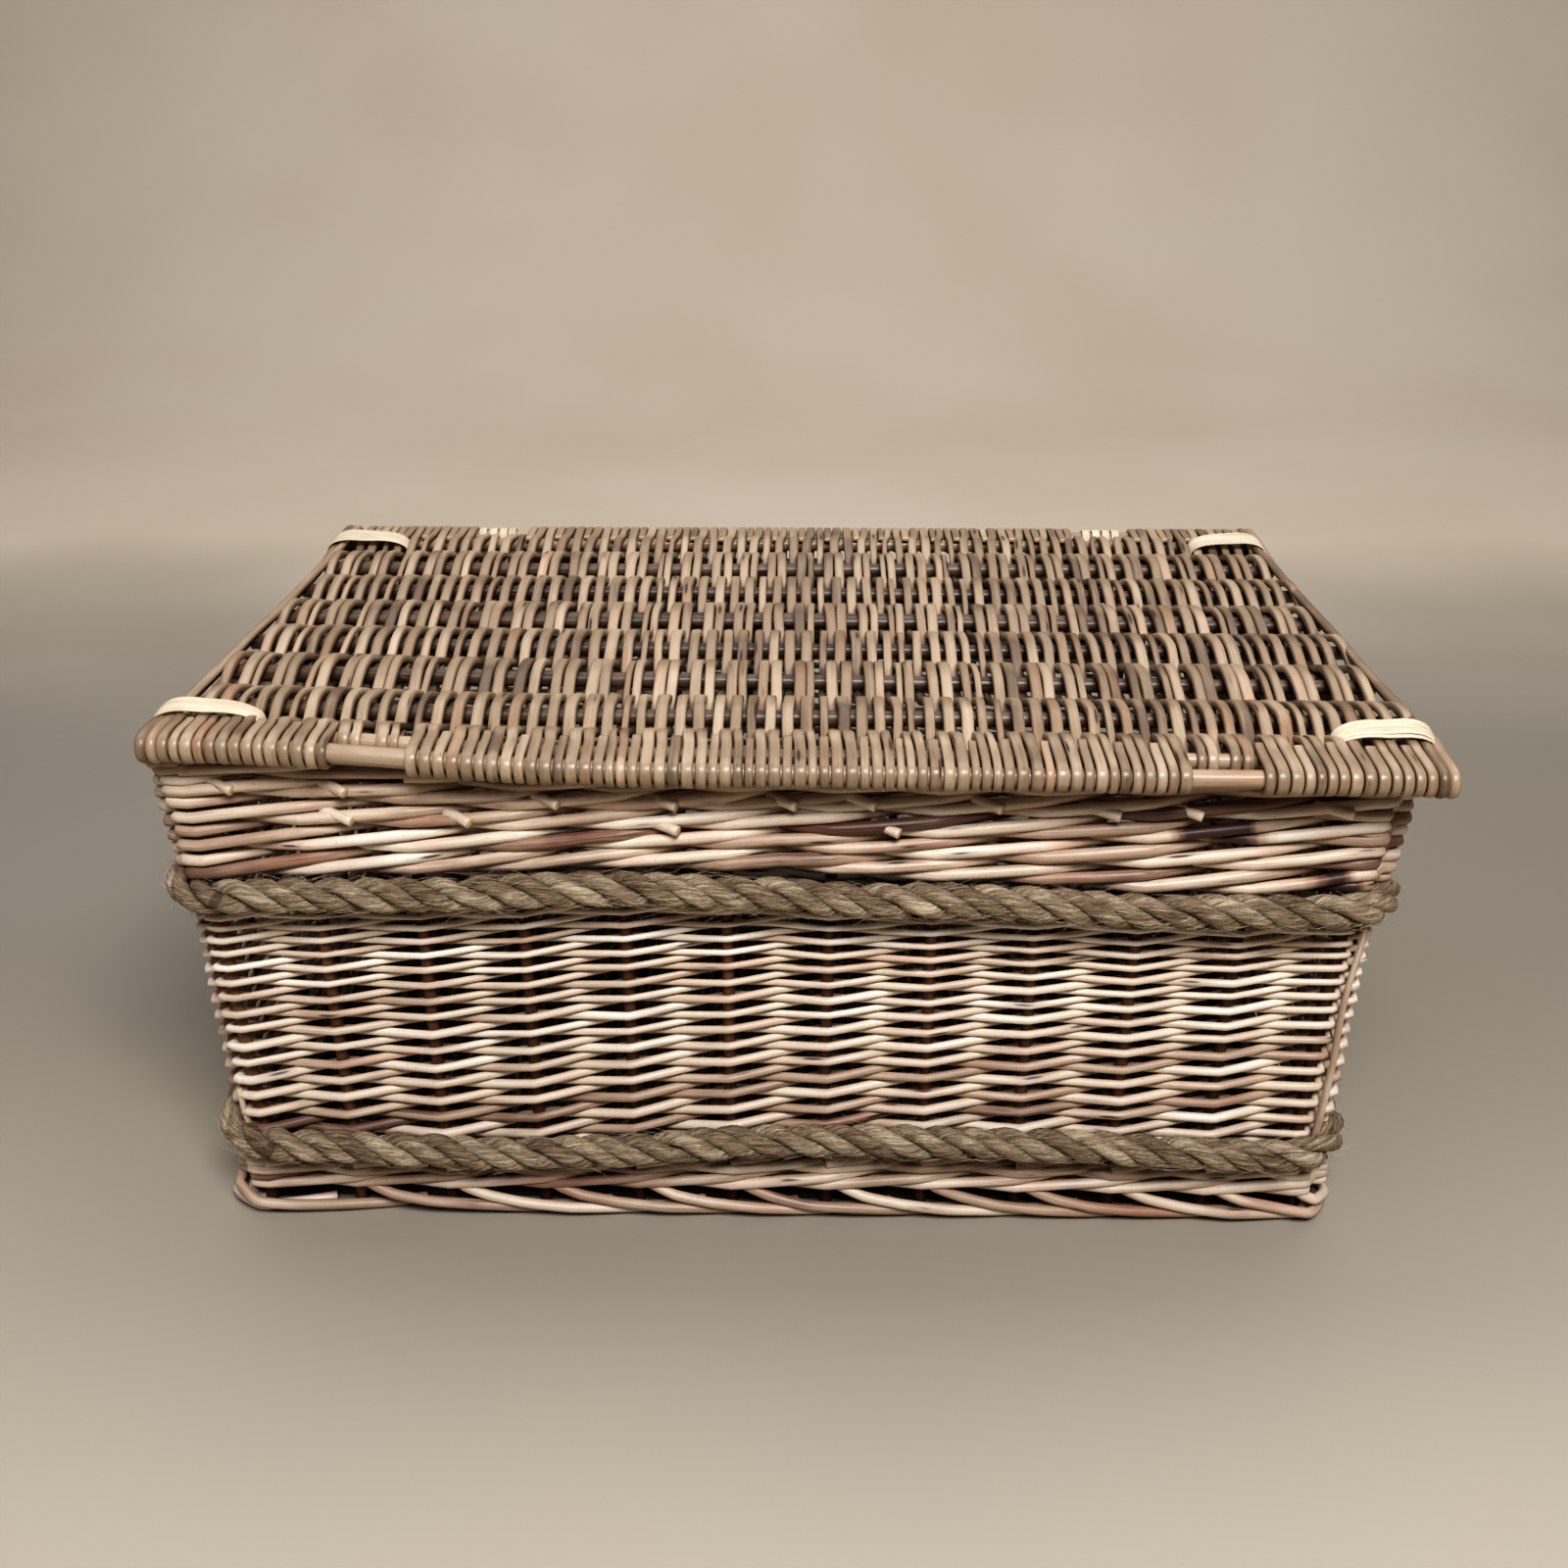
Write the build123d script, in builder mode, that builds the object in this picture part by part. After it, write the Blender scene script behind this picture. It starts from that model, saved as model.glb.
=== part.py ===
"""A rectangular willow hamper with a hinged lid and two jute rope bands.

Frame: X along the long side, -Y at the front, +Z up, millimetres. The origin is on the floor under
the middle of the whole object. The basket's weave runs round upright stakes in four walls, between a
foot border and a rim border. The lid is a panel of long sticks between doubled front and back rails,
and turns about its outer back rail, which cane loops tie to the basket's rim.
"""
from build123d import *
import math
import os

# ---- driving dimensions -------------------------------------------------------------------------
# Basket: centre lines of the four walls
LEFT_X = -363.75
RIGHT_X = 356.25
FRONT_Y = -204.0
BACK_Y = 213.0
# Heights of the bands of the wall, from the floor up
FOOT_TOP = 26.0
LOWER_WALE_TOP = 45.0
LOWER_ROPE_Z = 63.0
WEAVE_BOTTOM = 74.4
WEAVE_TOP = 234.5
UPPER_ROPE_Z = 250.0
UPPER_WALE_BOTTOM = 261.3
RIM_BOTTOM = 314.0
RIM_TOP = 329.0
# Half thickness of each band: a stake's radius plus one weaving rod
BORDER_HALF = 11.0
WALE_HALF = 12.5
WEAVE_HALF = 9.0
# Stakes and ropes
STAKE_R = 4.0
LONG_STAKES = 10
SHORT_STAKES = 5
POST_INSET = 13.0
ROPE_R = 11.0
ROPE_BEND_R = 36.0
ROPE_SLACK = 2.0
CLEAR = 0.3
# Base panel
BASE_Z = 24.0
BASE_RAIL_R = 6.0
BASE_STICK_R = 5.0
BASE_STICKS = 5
BASE_ROD = 4.2
# Lid: its middle is to the right of the basket's
LID_X = 7.75
LID_Z = 343.0
RAIL_R = 6.0
INNER_RAIL_R = 5.0
RAIL_PITCH = 20.0
RAIL_HALF_LENGTH = 380.0
LID_FRONT_Y = -231.0
LID_BACK_Y = 227.0
LID_HALF = 11.5
LID_WEAVE_X = 368.0
STICK_R = 5.0
THIN_STICK_R = 3.8
STICK_ROWS = 6
DOUBLED_ROW = 4
STICK_HALF_LENGTH = 374.0
WRAP_R = 11.0
WRAP_END_X = 378.0
GAP_WRAP_R = 8.6
# The bare stretches of the outer rails, measured from the lid's middle: the back ones are for the hinges
GAP_X = 248.5
GAP_HALF = 20.0
# Cane hinge loops
CANE = 1.6
CANE_WIDTH = 6.5
CANE_PITCH = 8.2
CANE_TURNS = 4
LOOP_CLEAR = 0.4
LOOP_REACH = 24.0
LOOP_LEAN = 22.0
LEFT_LOOP_X = -244.75
RIGHT_LOOP_X = 256.25
# Corner bindings of the lid, measured from its middle
BINDING_WIDTH = 20.0
BINDING_T = 1.5
BINDING_OUT_X = 384.0
BINDING_IN_X = 316.0
BINDING_INSET = 24.0

# ---- places worked out from them ----------------------------------------------------------------
MIDDLE_X = (LEFT_X + RIGHT_X) / 2
ROPE_OUT = STAKE_R + ROPE_SLACK + ROPE_R
INNER_FRONT_Y = LID_FRONT_Y + RAIL_PITCH
INNER_BACK_Y = LID_BACK_Y - RAIL_PITCH
ROW_PITCH = (INNER_BACK_Y - INNER_FRONT_Y) / (STICK_ROWS + 1)

os.makedirs("parts", exist_ok=True)


def keep(made, name):
    """Labels a finished sub-part and writes its STEP file."""
    made.part.label = name
    export_step(made.part, f"parts/{name}.step")
    return made.part


def stake_spots(side):
    """Where the stakes of one wall stand, between the posts at its two ends."""
    if side in ("front", "back"):
        y = FRONT_Y if side == "front" else BACK_Y
        start, end, count = LEFT_X + POST_INSET, RIGHT_X - POST_INSET, LONG_STAKES
        return [(start + (end - start) * i / (count + 1), y) for i in range(1, count + 1)]
    x = LEFT_X if side == "left" else RIGHT_X
    start, end, count = FRONT_Y + POST_INSET, BACK_Y - POST_INSET, SHORT_STAKES
    return [(x, start + (end - start) * i / (count + 1)) for i in range(1, count + 1)]


def post_spots():
    """Where the corner posts stand: two at each corner, one at the end of each wall."""
    spots = []
    for x, inward_x in ((LEFT_X, POST_INSET), (RIGHT_X, -POST_INSET)):
        for y, inward_y in ((FRONT_Y, POST_INSET), (BACK_Y, -POST_INSET)):
            spots += [(x + inward_x, y), (x, y + inward_y)]
    return spots


def wall_outline(side, half):
    """Sketch of one wall's band seen from above. The long walls take the corners, rounded outside."""
    if side in ("front", "back"):
        y = FRONT_Y if side == "front" else BACK_Y
        with BuildSketch() as outline:
            with Locations((MIDDLE_X, y)):
                Rectangle(RIGHT_X - LEFT_X + 2 * half, 2 * half)
            outer = outline.vertices().sort_by(Axis.Y)
            fillet(outer[:2] if side == "front" else outer[-2:], radius=half * 0.8)
        return outline.sketch
    start = FRONT_Y + half + CLEAR
    end = BACK_Y - half - CLEAR
    with BuildSketch() as outline:
        with Locations((LEFT_X if side == "left" else RIGHT_X, (start + end) / 2)):
            Rectangle(2 * half, end - start)
    return outline.sketch


def wall_band(side, half, low, high, threaded=True):
    """One wall's band of weave, from low to high, with a hole for each stake that it's woven round."""
    outline = wall_outline(side, half)
    with BuildPart() as band:
        with BuildSketch(Plane.XY.offset(low)):
            add(outline)
            if threaded:
                with Locations(*stake_spots(side), *post_spots()):
                    Circle(STAKE_R + CLEAR, mode=Mode.SUBTRACT)
        extrude(amount=high - low)
    return band


def upright_group(spots):
    """Upright round rods from the foot border to the rim border."""
    with BuildPart() as group:
        with BuildSketch(Plane.XY.offset(FOOT_TOP + CLEAR)):
            with Locations(*spots):
                Circle(STAKE_R)
        extrude(amount=RIM_BOTTOM - FOOT_TOP - 2 * CLEAR)
    return group


def rope_band(z):
    """A rope laid round the outside of the stakes: one closed round tube with bent corners."""
    left, right = LEFT_X - ROPE_OUT, RIGHT_X + ROPE_OUT
    front, back = FRONT_Y - ROPE_OUT, BACK_Y + ROPE_OUT
    with BuildPart() as rope:
        with BuildLine() as route:
            FilletPolyline(
                (left, back, z), (left, front, z), (right, front, z), (right, back, z),
                radius=ROPE_BEND_R, close=True,
            )
        with BuildSketch(Plane(origin=route.line @ 0, z_dir=route.line % 0)):
            Circle(ROPE_R)
        sweep()
    return rope


def long_rods(spots, radius, half_length, middle_x=LID_X):
    """Round rods along X, one at each (y, z)."""
    with BuildPart() as rods:
        with BuildSketch(Plane.YZ.offset(middle_x - half_length)):
            with Locations(*spots):
                Circle(radius)
        extrude(amount=2 * half_length)
    return rods


def lid_border_wrap(outer_y, inner_y):
    """Rods wound round a doubled rail: oval tubes round both rails, and round ones where the outer is bare."""
    bare_in = GAP_X - GAP_HALF
    bare_out = GAP_X + GAP_HALF
    middle = ((outer_y + inner_y) / 2, LID_Z)
    runs = [(-WRAP_END_X, -bare_out), (-bare_in, bare_in), (bare_out, WRAP_END_X)]
    bare_runs = [(-bare_out + CLEAR, -bare_in - CLEAR), (bare_in + CLEAR, bare_out - CLEAR)]
    with BuildPart() as wrap:
        for start, end in runs:
            with BuildSketch(Plane.YZ.offset(LID_X + start)):
                with Locations(middle):
                    SlotCenterToCenter(RAIL_PITCH, 2 * WRAP_R)
                    SlotCenterToCenter(RAIL_PITCH, 2 * (RAIL_R + CLEAR), mode=Mode.SUBTRACT)
            extrude(amount=end - start)
        for start, end in bare_runs:
            with BuildSketch(Plane.YZ.offset(LID_X + start)):
                with Locations((inner_y, LID_Z)):
                    Circle(GAP_WRAP_R)
                    Circle(INNER_RAIL_R + CLEAR, mode=Mode.SUBTRACT)
            extrude(amount=end - start)
    return wrap


def cane_loops(x, grow=0.0):
    """Turns of cane side by side round the lid's outer back rail and the outer rods of the rim."""
    lean = math.radians(LOOP_LEAN)
    middle = (
        LID_BACK_Y - LOOP_REACH / 2 * math.sin(lean),
        LID_Z - LOOP_REACH / 2 * math.cos(lean),
    )
    hole_r = RAIL_R + LOOP_CLEAR - grow
    outer_r = RAIL_R + LOOP_CLEAR + CANE + grow
    width = CANE_WIDTH + 2 * grow
    with BuildPart() as loops:
        for i in range(CANE_TURNS):
            centre = x + (i - (CANE_TURNS - 1) / 2) * CANE_PITCH
            with BuildSketch(Plane.YZ.offset(centre - width / 2)):
                with Locations(middle):
                    SlotCenterToCenter(LOOP_REACH, 2 * outer_r, rotation=90 - LOOP_LEAN)
                    SlotCenterToCenter(
                        LOOP_REACH, 2 * hole_r, rotation=90 - LOOP_LEAN, mode=Mode.SUBTRACT
                    )
            extrude(amount=width)
    return loops


def corner_binding(side, y):
    """A flat band of cane round the lid's edge rods, through the weave and back."""
    inner_r = LID_HALF + CLEAR
    outer_r = inner_r + BINDING_T
    reach = BINDING_OUT_X - BINDING_IN_X - 2 * outer_r
    middle = (LID_X + side * (BINDING_OUT_X + BINDING_IN_X) / 2, LID_Z)
    with BuildPart() as binding:
        with BuildSketch(Plane.XZ.offset(-y - BINDING_WIDTH / 2)):
            with Locations(middle):
                SlotCenterToCenter(reach, 2 * outer_r)
                SlotCenterToCenter(reach, 2 * inner_r, mode=Mode.SUBTRACT)
        extrude(amount=BINDING_WIDTH)
    return binding


# ---- basket: base panel -------------------------------------------------------------------------
base_front = FRONT_Y + WALE_HALF + 0.5
base_back = BACK_Y - WALE_HALF - 0.5
base_half_x = (RIGHT_X - LEFT_X) / 2 - WALE_HALF - 0.5
rail_inset = BASE_RAIL_R + CLEAR
base_rail_front = base_front + rail_inset
base_rail_back = base_back - rail_inset
stick_pitch = (base_rail_back - base_rail_front) / (BASE_STICKS + 1)

for end, y in (("front", base_rail_front), ("back", base_rail_back)):
    keep(long_rods([(y, BASE_Z)], BASE_RAIL_R, base_half_x, MIDDLE_X), f"base_{end}_rail")
base_spots = [(base_rail_front + stick_pitch * i, BASE_Z) for i in range(1, BASE_STICKS + 1)]
keep(long_rods(base_spots, BASE_STICK_R, base_half_x, MIDDLE_X), "base_sticks")

with BuildPart() as base_weave:
    for level in (BASE_Z - BASE_RAIL_R - CLEAR - BASE_ROD, BASE_Z + BASE_RAIL_R + CLEAR):
        with BuildSketch(Plane.XY.offset(level)):
            with Locations((MIDDLE_X, (base_front + base_back) / 2)):
                Rectangle(2 * base_half_x, base_back - base_front)
        extrude(amount=BASE_ROD)
keep(base_weave, "base_weave")

# ---- basket: stakes, weave, borders and ropes ---------------------------------------------------
SIDES = ("front", "back", "left", "right")
keep(upright_group(post_spots()), "corner_posts")
for side in SIDES:
    keep(upright_group(stake_spots(side)), f"{side}_stakes")
    keep(wall_band(side, BORDER_HALF, 0, FOOT_TOP, threaded=False), f"{side}_foot_border")
    keep(wall_band(side, WALE_HALF, FOOT_TOP + CLEAR, LOWER_WALE_TOP), f"{side}_lower_wale")
    keep(wall_band(side, WEAVE_HALF, WEAVE_BOTTOM, WEAVE_TOP), f"{side}_weave")

keep(rope_band(LOWER_ROPE_Z), "lower_rope")
keep(rope_band(UPPER_ROPE_Z), "upper_rope")

# The cane hinge loops pass through the back wall's top, which is slotted for them.
slots = [cane_loops(x, grow=CLEAR).part for x in (LEFT_LOOP_X, RIGHT_LOOP_X)]
for side in SIDES:
    upper_wale = wall_band(side, WALE_HALF, UPPER_WALE_BOTTOM, RIM_BOTTOM - CLEAR)
    rim = wall_band(side, BORDER_HALF, RIM_BOTTOM, RIM_TOP, threaded=False)
    if side == "back":
        for threaded in (upper_wale, rim):
            with threaded:
                add(slots, mode=Mode.SUBTRACT)
    keep(upper_wale, f"{side}_upper_wale")
    keep(rim, f"{side}_rim_border")

keep(cane_loops(LEFT_LOOP_X), "hinge_loop_left")
keep(cane_loops(RIGHT_LOOP_X), "hinge_loop_right")

# ---- lid ----------------------------------------------------------------------------------------
keep(long_rods([(LID_FRONT_Y, LID_Z)], RAIL_R, RAIL_HALF_LENGTH), "lid_front_rail")
keep(long_rods([(LID_BACK_Y, LID_Z)], RAIL_R, RAIL_HALF_LENGTH), "lid_back_rail")
keep(long_rods([(INNER_FRONT_Y, LID_Z)], INNER_RAIL_R, RAIL_HALF_LENGTH), "lid_front_inner_rail")
keep(long_rods([(INNER_BACK_Y, LID_Z)], INNER_RAIL_R, RAIL_HALF_LENGTH), "lid_back_inner_rail")

for row in range(1, STICK_ROWS + 1):
    y = INNER_FRONT_Y + ROW_PITCH * row
    if row == DOUBLED_ROW:
        pair = [(y - THIN_STICK_R - CLEAR, LID_Z), (y + THIN_STICK_R + CLEAR, LID_Z)]
        keep(long_rods(pair, THIN_STICK_R, STICK_HALF_LENGTH), f"lid_stick_{row}_pair")
    else:
        keep(long_rods([(y, LID_Z)], STICK_R, STICK_HALF_LENGTH), f"lid_stick_{row}")

binding_ys = {"front": INNER_FRONT_Y + BINDING_INSET, "back": INNER_BACK_Y - BINDING_INSET}
hole_length = LID_HALF
hole_x = BINDING_IN_X + hole_length / 2
weave_front = INNER_FRONT_Y + WRAP_R + CLEAR
weave_back = INNER_BACK_Y - WRAP_R - CLEAR
weave_layer = LID_HALF - STICK_R - CLEAR
with BuildPart() as lid_weave:
    for level in (LID_Z - LID_HALF, LID_Z + STICK_R + CLEAR):
        with BuildSketch(Plane.XY.offset(level)):
            with Locations((LID_X, (weave_front + weave_back) / 2)):
                Rectangle(2 * LID_WEAVE_X, weave_back - weave_front)
            with Locations(*[(LID_X + s * hole_x, y) for s in (-1, 1) for y in binding_ys.values()]):
                Rectangle(hole_length, BINDING_WIDTH + 2 * CLEAR, mode=Mode.SUBTRACT)
        extrude(amount=weave_layer)
keep(lid_weave, "lid_weave")

keep(lid_border_wrap(LID_FRONT_Y, INNER_FRONT_Y), "lid_front_wrap")
keep(lid_border_wrap(LID_BACK_Y, INNER_BACK_Y), "lid_back_wrap")

for end, y in binding_ys.items():
    for side, sign in (("left", -1), ("right", 1)):
        keep(corner_binding(sign, y), f"{end}_{side}_corner_binding")
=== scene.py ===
"""Looks of the willow hamper: every rod, rope strand and cane strip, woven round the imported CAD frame."""

import math

import bpy
import numpy as np
from mathutils import Matrix, Vector


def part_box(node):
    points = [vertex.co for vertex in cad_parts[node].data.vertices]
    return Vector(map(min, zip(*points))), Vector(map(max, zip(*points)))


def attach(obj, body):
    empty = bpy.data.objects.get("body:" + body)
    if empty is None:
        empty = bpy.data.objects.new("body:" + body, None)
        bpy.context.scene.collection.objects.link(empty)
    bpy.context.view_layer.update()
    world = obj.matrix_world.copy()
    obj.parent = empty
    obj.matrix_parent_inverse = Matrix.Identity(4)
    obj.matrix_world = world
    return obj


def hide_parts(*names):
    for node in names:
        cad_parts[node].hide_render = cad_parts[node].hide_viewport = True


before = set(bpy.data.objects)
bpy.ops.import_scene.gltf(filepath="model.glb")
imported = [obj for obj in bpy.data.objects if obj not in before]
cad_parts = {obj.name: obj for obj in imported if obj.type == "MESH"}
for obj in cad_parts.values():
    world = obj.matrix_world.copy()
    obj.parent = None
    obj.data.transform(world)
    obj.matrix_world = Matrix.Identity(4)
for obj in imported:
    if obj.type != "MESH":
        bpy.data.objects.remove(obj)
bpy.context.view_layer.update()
rng = np.random.default_rng(7)
scene = bpy.context.scene


def new_object(name, data):
    made = bpy.data.objects.new(name, data)
    scene.collection.objects.link(made)
    return made


def heading(angle):
    """The level direction at an angle in degrees."""
    return np.array([math.cos(math.radians(angle)), math.sin(math.radians(angle))])


# ---- counts and sizes that the frame's boxes don't give (metres) ----
LONG_STAKES = 10
SHORT_STAKES = 5
POST_INSET = 0.013
SIDE_ROWS = 34
HIDDEN_ROWS = 2
BORDER_R = 0.0036
ROPE_BEND_R = 0.036
ROPE_LAY = 0.067
ROPE_HAIRS = 2200
BASE_RODS = 112
BASE_ROD_R = 0.0024
LID_ROWS = 6
DOUBLED_ROW = 4
RAIL_PITCH = 0.020
GAP_X = 0.2485
GAP_HALF = 0.020
LID_PERIODS = 68
LID_WEAVE_END = 0.3675
TURN_THICK = 0.0018
TURN_GAP = 0.0003
TURN_SHARE = 0.94
PAIR_R = 0.0038
PAIR_OFF = 0.0041
ROPE_HUG = 0.004
BINDING_STRIPS = 6
HINGE_LEAN = math.radians(22)
HINGE_REACH = 0.024
HINGE_TURNS = 4
HINGE_PITCH = 0.0082


# ---- the camera ----
def make_camera():
    """A camera in front of the hamper and above it, tilted down."""
    yaw, pitch, roll = (math.radians(a) for a in (0.81, 24.89, -0.01))
    forward = Vector((-math.sin(yaw) * math.cos(pitch), math.cos(yaw) * math.cos(pitch), -math.sin(pitch)))
    level = Vector((math.cos(yaw), math.sin(yaw), 0))
    up = level.cross(forward)
    right = level * math.cos(roll) + up * math.sin(roll)
    up = right.cross(forward)
    camera = new_object("camera", bpy.data.cameras.new("camera"))
    camera.data.sensor_width = 36
    camera.data.lens = 36.37
    axes = Matrix((right, up, -forward)).transposed()
    camera.matrix_world = Matrix.Translation((0.01175, -1.0590, 0.7137)) @ axes.to_4x4()
    scene.camera = camera


make_camera()


# ---- places worked out from the frame ----
def corners_of(node):
    low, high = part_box(node)
    return np.array(low), np.array(high)


post_low, post_high = corners_of("corner_posts")
stake_low, stake_high = corners_of("front_stakes")
STAKE_R = (stake_high[1] - stake_low[1]) / 2
LEFT_X, FRONT_Y = post_low[:2] + STAKE_R
RIGHT_X, BACK_Y = post_high[:2] - STAKE_R
MIDDLE_X, MIDDLE_Y = (LEFT_X + RIGHT_X) / 2, (FRONT_Y + BACK_Y) / 2
HALF_X, HALF_Y = (RIGHT_X - LEFT_X) / 2, (BACK_Y - FRONT_Y) / 2
RIM_TOP = corners_of("front_rim_border")[1][2]

front_rail_low, front_rail_high = corners_of("lid_front_rail")
back_rail_low, back_rail_high = corners_of("lid_back_rail")
RAIL_R = (front_rail_high[1] - front_rail_low[1]) / 2
LID_X = (front_rail_low[0] + front_rail_high[0]) / 2
RAIL_END = (front_rail_high[0] - front_rail_low[0]) / 2
LID_Z = (front_rail_low[2] + front_rail_high[2]) / 2
LID_FRONT = (front_rail_low[1] + front_rail_high[1]) / 2
LID_BACK = (back_rail_low[1] + back_rail_high[1]) / 2
inner_low, inner_high = corners_of("lid_front_inner_rail")
INNER_R = (inner_high[1] - inner_low[1]) / 2
INNER_FRONT = LID_FRONT + RAIL_PITCH
INNER_BACK = LID_BACK - RAIL_PITCH
ROW_PITCH = (INNER_BACK - INNER_FRONT) / (LID_ROWS + 1)
STICK_END = corners_of("lid_stick_1")[1][0] - LID_X


def perimeter():
    """Every upright round the basket, anticlockwise from the front left: its place, its wall's outward
    direction, and what it is: 0 for a stake, 1 for the post at a wall's start, 2 for the one at its end."""
    walls = [
        ((LEFT_X + POST_INSET, FRONT_Y), (RIGHT_X - POST_INSET, FRONT_Y), (0, -1), LONG_STAKES),
        ((RIGHT_X, FRONT_Y + POST_INSET), (RIGHT_X, BACK_Y - POST_INSET), (1, 0), SHORT_STAKES),
        ((RIGHT_X - POST_INSET, BACK_Y), (LEFT_X + POST_INSET, BACK_Y), (0, 1), LONG_STAKES),
        ((LEFT_X, BACK_Y - POST_INSET), (LEFT_X, FRONT_Y + POST_INSET), (-1, 0), SHORT_STAKES),
    ]
    found = []
    for start, end, outward, count in walls:
        for i in range(count + 2):
            place = np.array(start) + (np.array(end) - np.array(start)) * i / (count + 1)
            kind = 1 if i == 0 else 2 if i == count + 1 else 0
            found.append((place, np.array(outward, float), kind))
    return found


UPRIGHTS = perimeter()
TURN = len(UPRIGHTS)


def smooth(x, low, high):
    t = np.clip((x - low) / (high - low), 0, 1)
    return t * t * (3 - 2 * t)


def unevenness(x, z):
    """How far the front wall's bands stand above or below their level heights, in metres: the lower
    ones sag left of the middle, and the upper ones step down towards the right. x runs from -1 at the
    wall's left end to 1 at its right."""
    low_x = (-1, -0.7, -0.54, -0.3, -0.1, 0.2, 0.45, 0.7, 1)
    low = np.interp(x, low_x, (-0.5, -3.4, -5.5, 0, 4.2, 6.4, 3.8, 0.3, -0.5))
    high_x = (-1, -0.55, -0.29, 0, 0.16, 0.44, 0.62, 0.87, 1)
    high = np.interp(x, high_x, (1, 1, 5.7, 5.7, -0.4, -4.4, -8.5, -9.8, -7.8))
    low_share = np.interp(z, (0.01, 0.03, 0.045, 0.063, 0.09, 0.16, 0.24), (0, 0.3, 0.7, 1, 0.9, 0.4, 0))
    high_share = np.interp(z, (0.08, 0.16, 0.22, 0.25, 0.268, 0.29, 0.325), (0, 0.3, 0.8, 1, 1, 0.5, 0))
    return (low * low_share + high * high_share) / 1000


def settle_basket(points):
    """Gives the straight frame a hand-made basket's shape: its ends flare towards the rim and are drawn
    in by the ropes, its bands rise and fall, its walls bow a little, and its rim is highest at the
    front left."""
    rim_rise, left_sag, end_bow, wall_bow = 0.010, 0.0055, 0.004, 0.003
    p = np.array(points, float)
    x, y, z = p[:, 0] - MIDDLE_X, p[:, 1] - MIDDLE_Y, p[:, 2].copy()
    levels = (0, 0.045, 0.063, 0.085, 0.15, 0.21, 0.235, 0.25, 0.268, 0.31)
    lean_right = np.interp(z, levels, (-3, -4, -7, -5, -3.5, 0, 1, 1, 4, 9)) / 1000
    lean_left = np.interp(z, levels, (-3, -4, -8.5, -5, -2, 0, 0, -2, 3, 8)) / 1000
    lean = np.where(x > 0, lean_right, lean_left)
    middle = (1 - (x / HALF_X) ** 2).clip(0) * (np.abs(y) > HALF_Y * 0.8)
    end_middle = (1 - (y / HALF_Y) ** 2).clip(0) * (np.abs(x) > HALF_X * 0.8)
    front = ((HALF_Y - y) / (2 * HALF_Y)).clip(0, 1)
    p[:, 2] += front * unevenness(x / HALF_X, z) + (1 - front) * 0.6 * unevenness(-x / HALF_X, z)
    p[:, 2] += rim_rise * smooth(-x, 0.12, HALF_X) * smooth(-y, -0.12, HALF_Y) * smooth(z, 0.25, 0.31)
    front_left = smooth(-x, 0.15, HALF_X) * smooth(-y, 0, HALF_Y)
    p[:, 2] -= left_sag * front_left * smooth(z, 0.20, 0.25) * smooth(-z, -0.31, -0.26)
    bow_height = np.clip(z / 0.15, 0, 1) * np.clip((0.34 - z) / 0.1, 0, 1)
    p[:, 0] += np.sign(x) * smooth(np.abs(x), 0.25, HALF_X) * (lean + end_bow * end_middle * bow_height)
    p[:, 1] += np.sign(y) * smooth(np.abs(y), 0.1, HALF_Y) * wall_bow * middle * bow_height
    return p


def settle_lid(points):
    """The lid isn't quite flat or square: its front left corner stands high, the rest of its front edge
    dips, its sticks lie towards the front, and its right end lies forward and is drawn in. Takes points
    measured from the lid's middle in x."""
    corner_rise, front_dip, skew, right_draw = 0.0055, 0.007, 0.015, 0.0055
    p = np.array(points, float)
    front = smooth(-p[:, 1], 0.178, -LID_FRONT)
    p[:, 2] += corner_rise * smooth(-p[:, 0], 0.15, RAIL_END) * smooth(-p[:, 1], -0.15, -LID_FRONT)
    p[:, 2] -= front_dip * smooth(p[:, 0], -0.33, -0.08) * front
    rows = (LID_FRONT + 0.018, lid_row(1), 0, lid_row(LID_ROWS), LID_BACK - 0.018)
    p[:, 1] += np.interp(p[:, 1], rows, (0, -0.013, -0.011, -0.008, 0))
    p[:, 1] -= skew * p[:, 0] * (LID_BACK - p[:, 1]) / (LID_BACK - LID_FRONT)
    p[:, 0] += LID_X - right_draw * smooth(p[:, 0], 0.15, RAIL_END)
    return p


# ---- rods as meshes ----
def unit(v):
    return v / np.maximum(np.linalg.norm(v, axis=-1, keepdims=True), 1e-9)


def flowing(anchors, stiffness=0.5, steps=6, short=0.02):
    """Points along a rod that goes through its anchors, bent near them and nearly straight between,
    and where each point lies in the list of anchors."""
    a = np.array(anchors, float)
    legs = a[1:] - a[:-1]
    lengths = np.linalg.norm(legs, axis=1)
    along = unit(legs)
    tangents = unit(np.vstack([along[:1], along[:-1] + along[1:], along[-1:]]))
    points, spots = [], []
    for i, length in enumerate(lengths):
        count = steps if length > short else 3
        t = (np.arange(count) / count)[:, None]
        if length > 2 * short:
            t = t * t * (3 - 2 * t)
        pull = stiffness * length
        points.append(
            (2 * t**3 - 3 * t**2 + 1) * a[i]
            + (t**3 - 2 * t**2 + t) * pull * tangents[i]
            + (3 * t**2 - 2 * t**3) * a[i + 1]
            + (t**3 - t**2) * pull * tangents[i + 1]
        )
        spots.append(i + t[:, 0])
    points.append(a[-1:])
    spots.append([len(a) - 1])
    return np.vstack(points), np.concatenate(spots)


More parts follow.
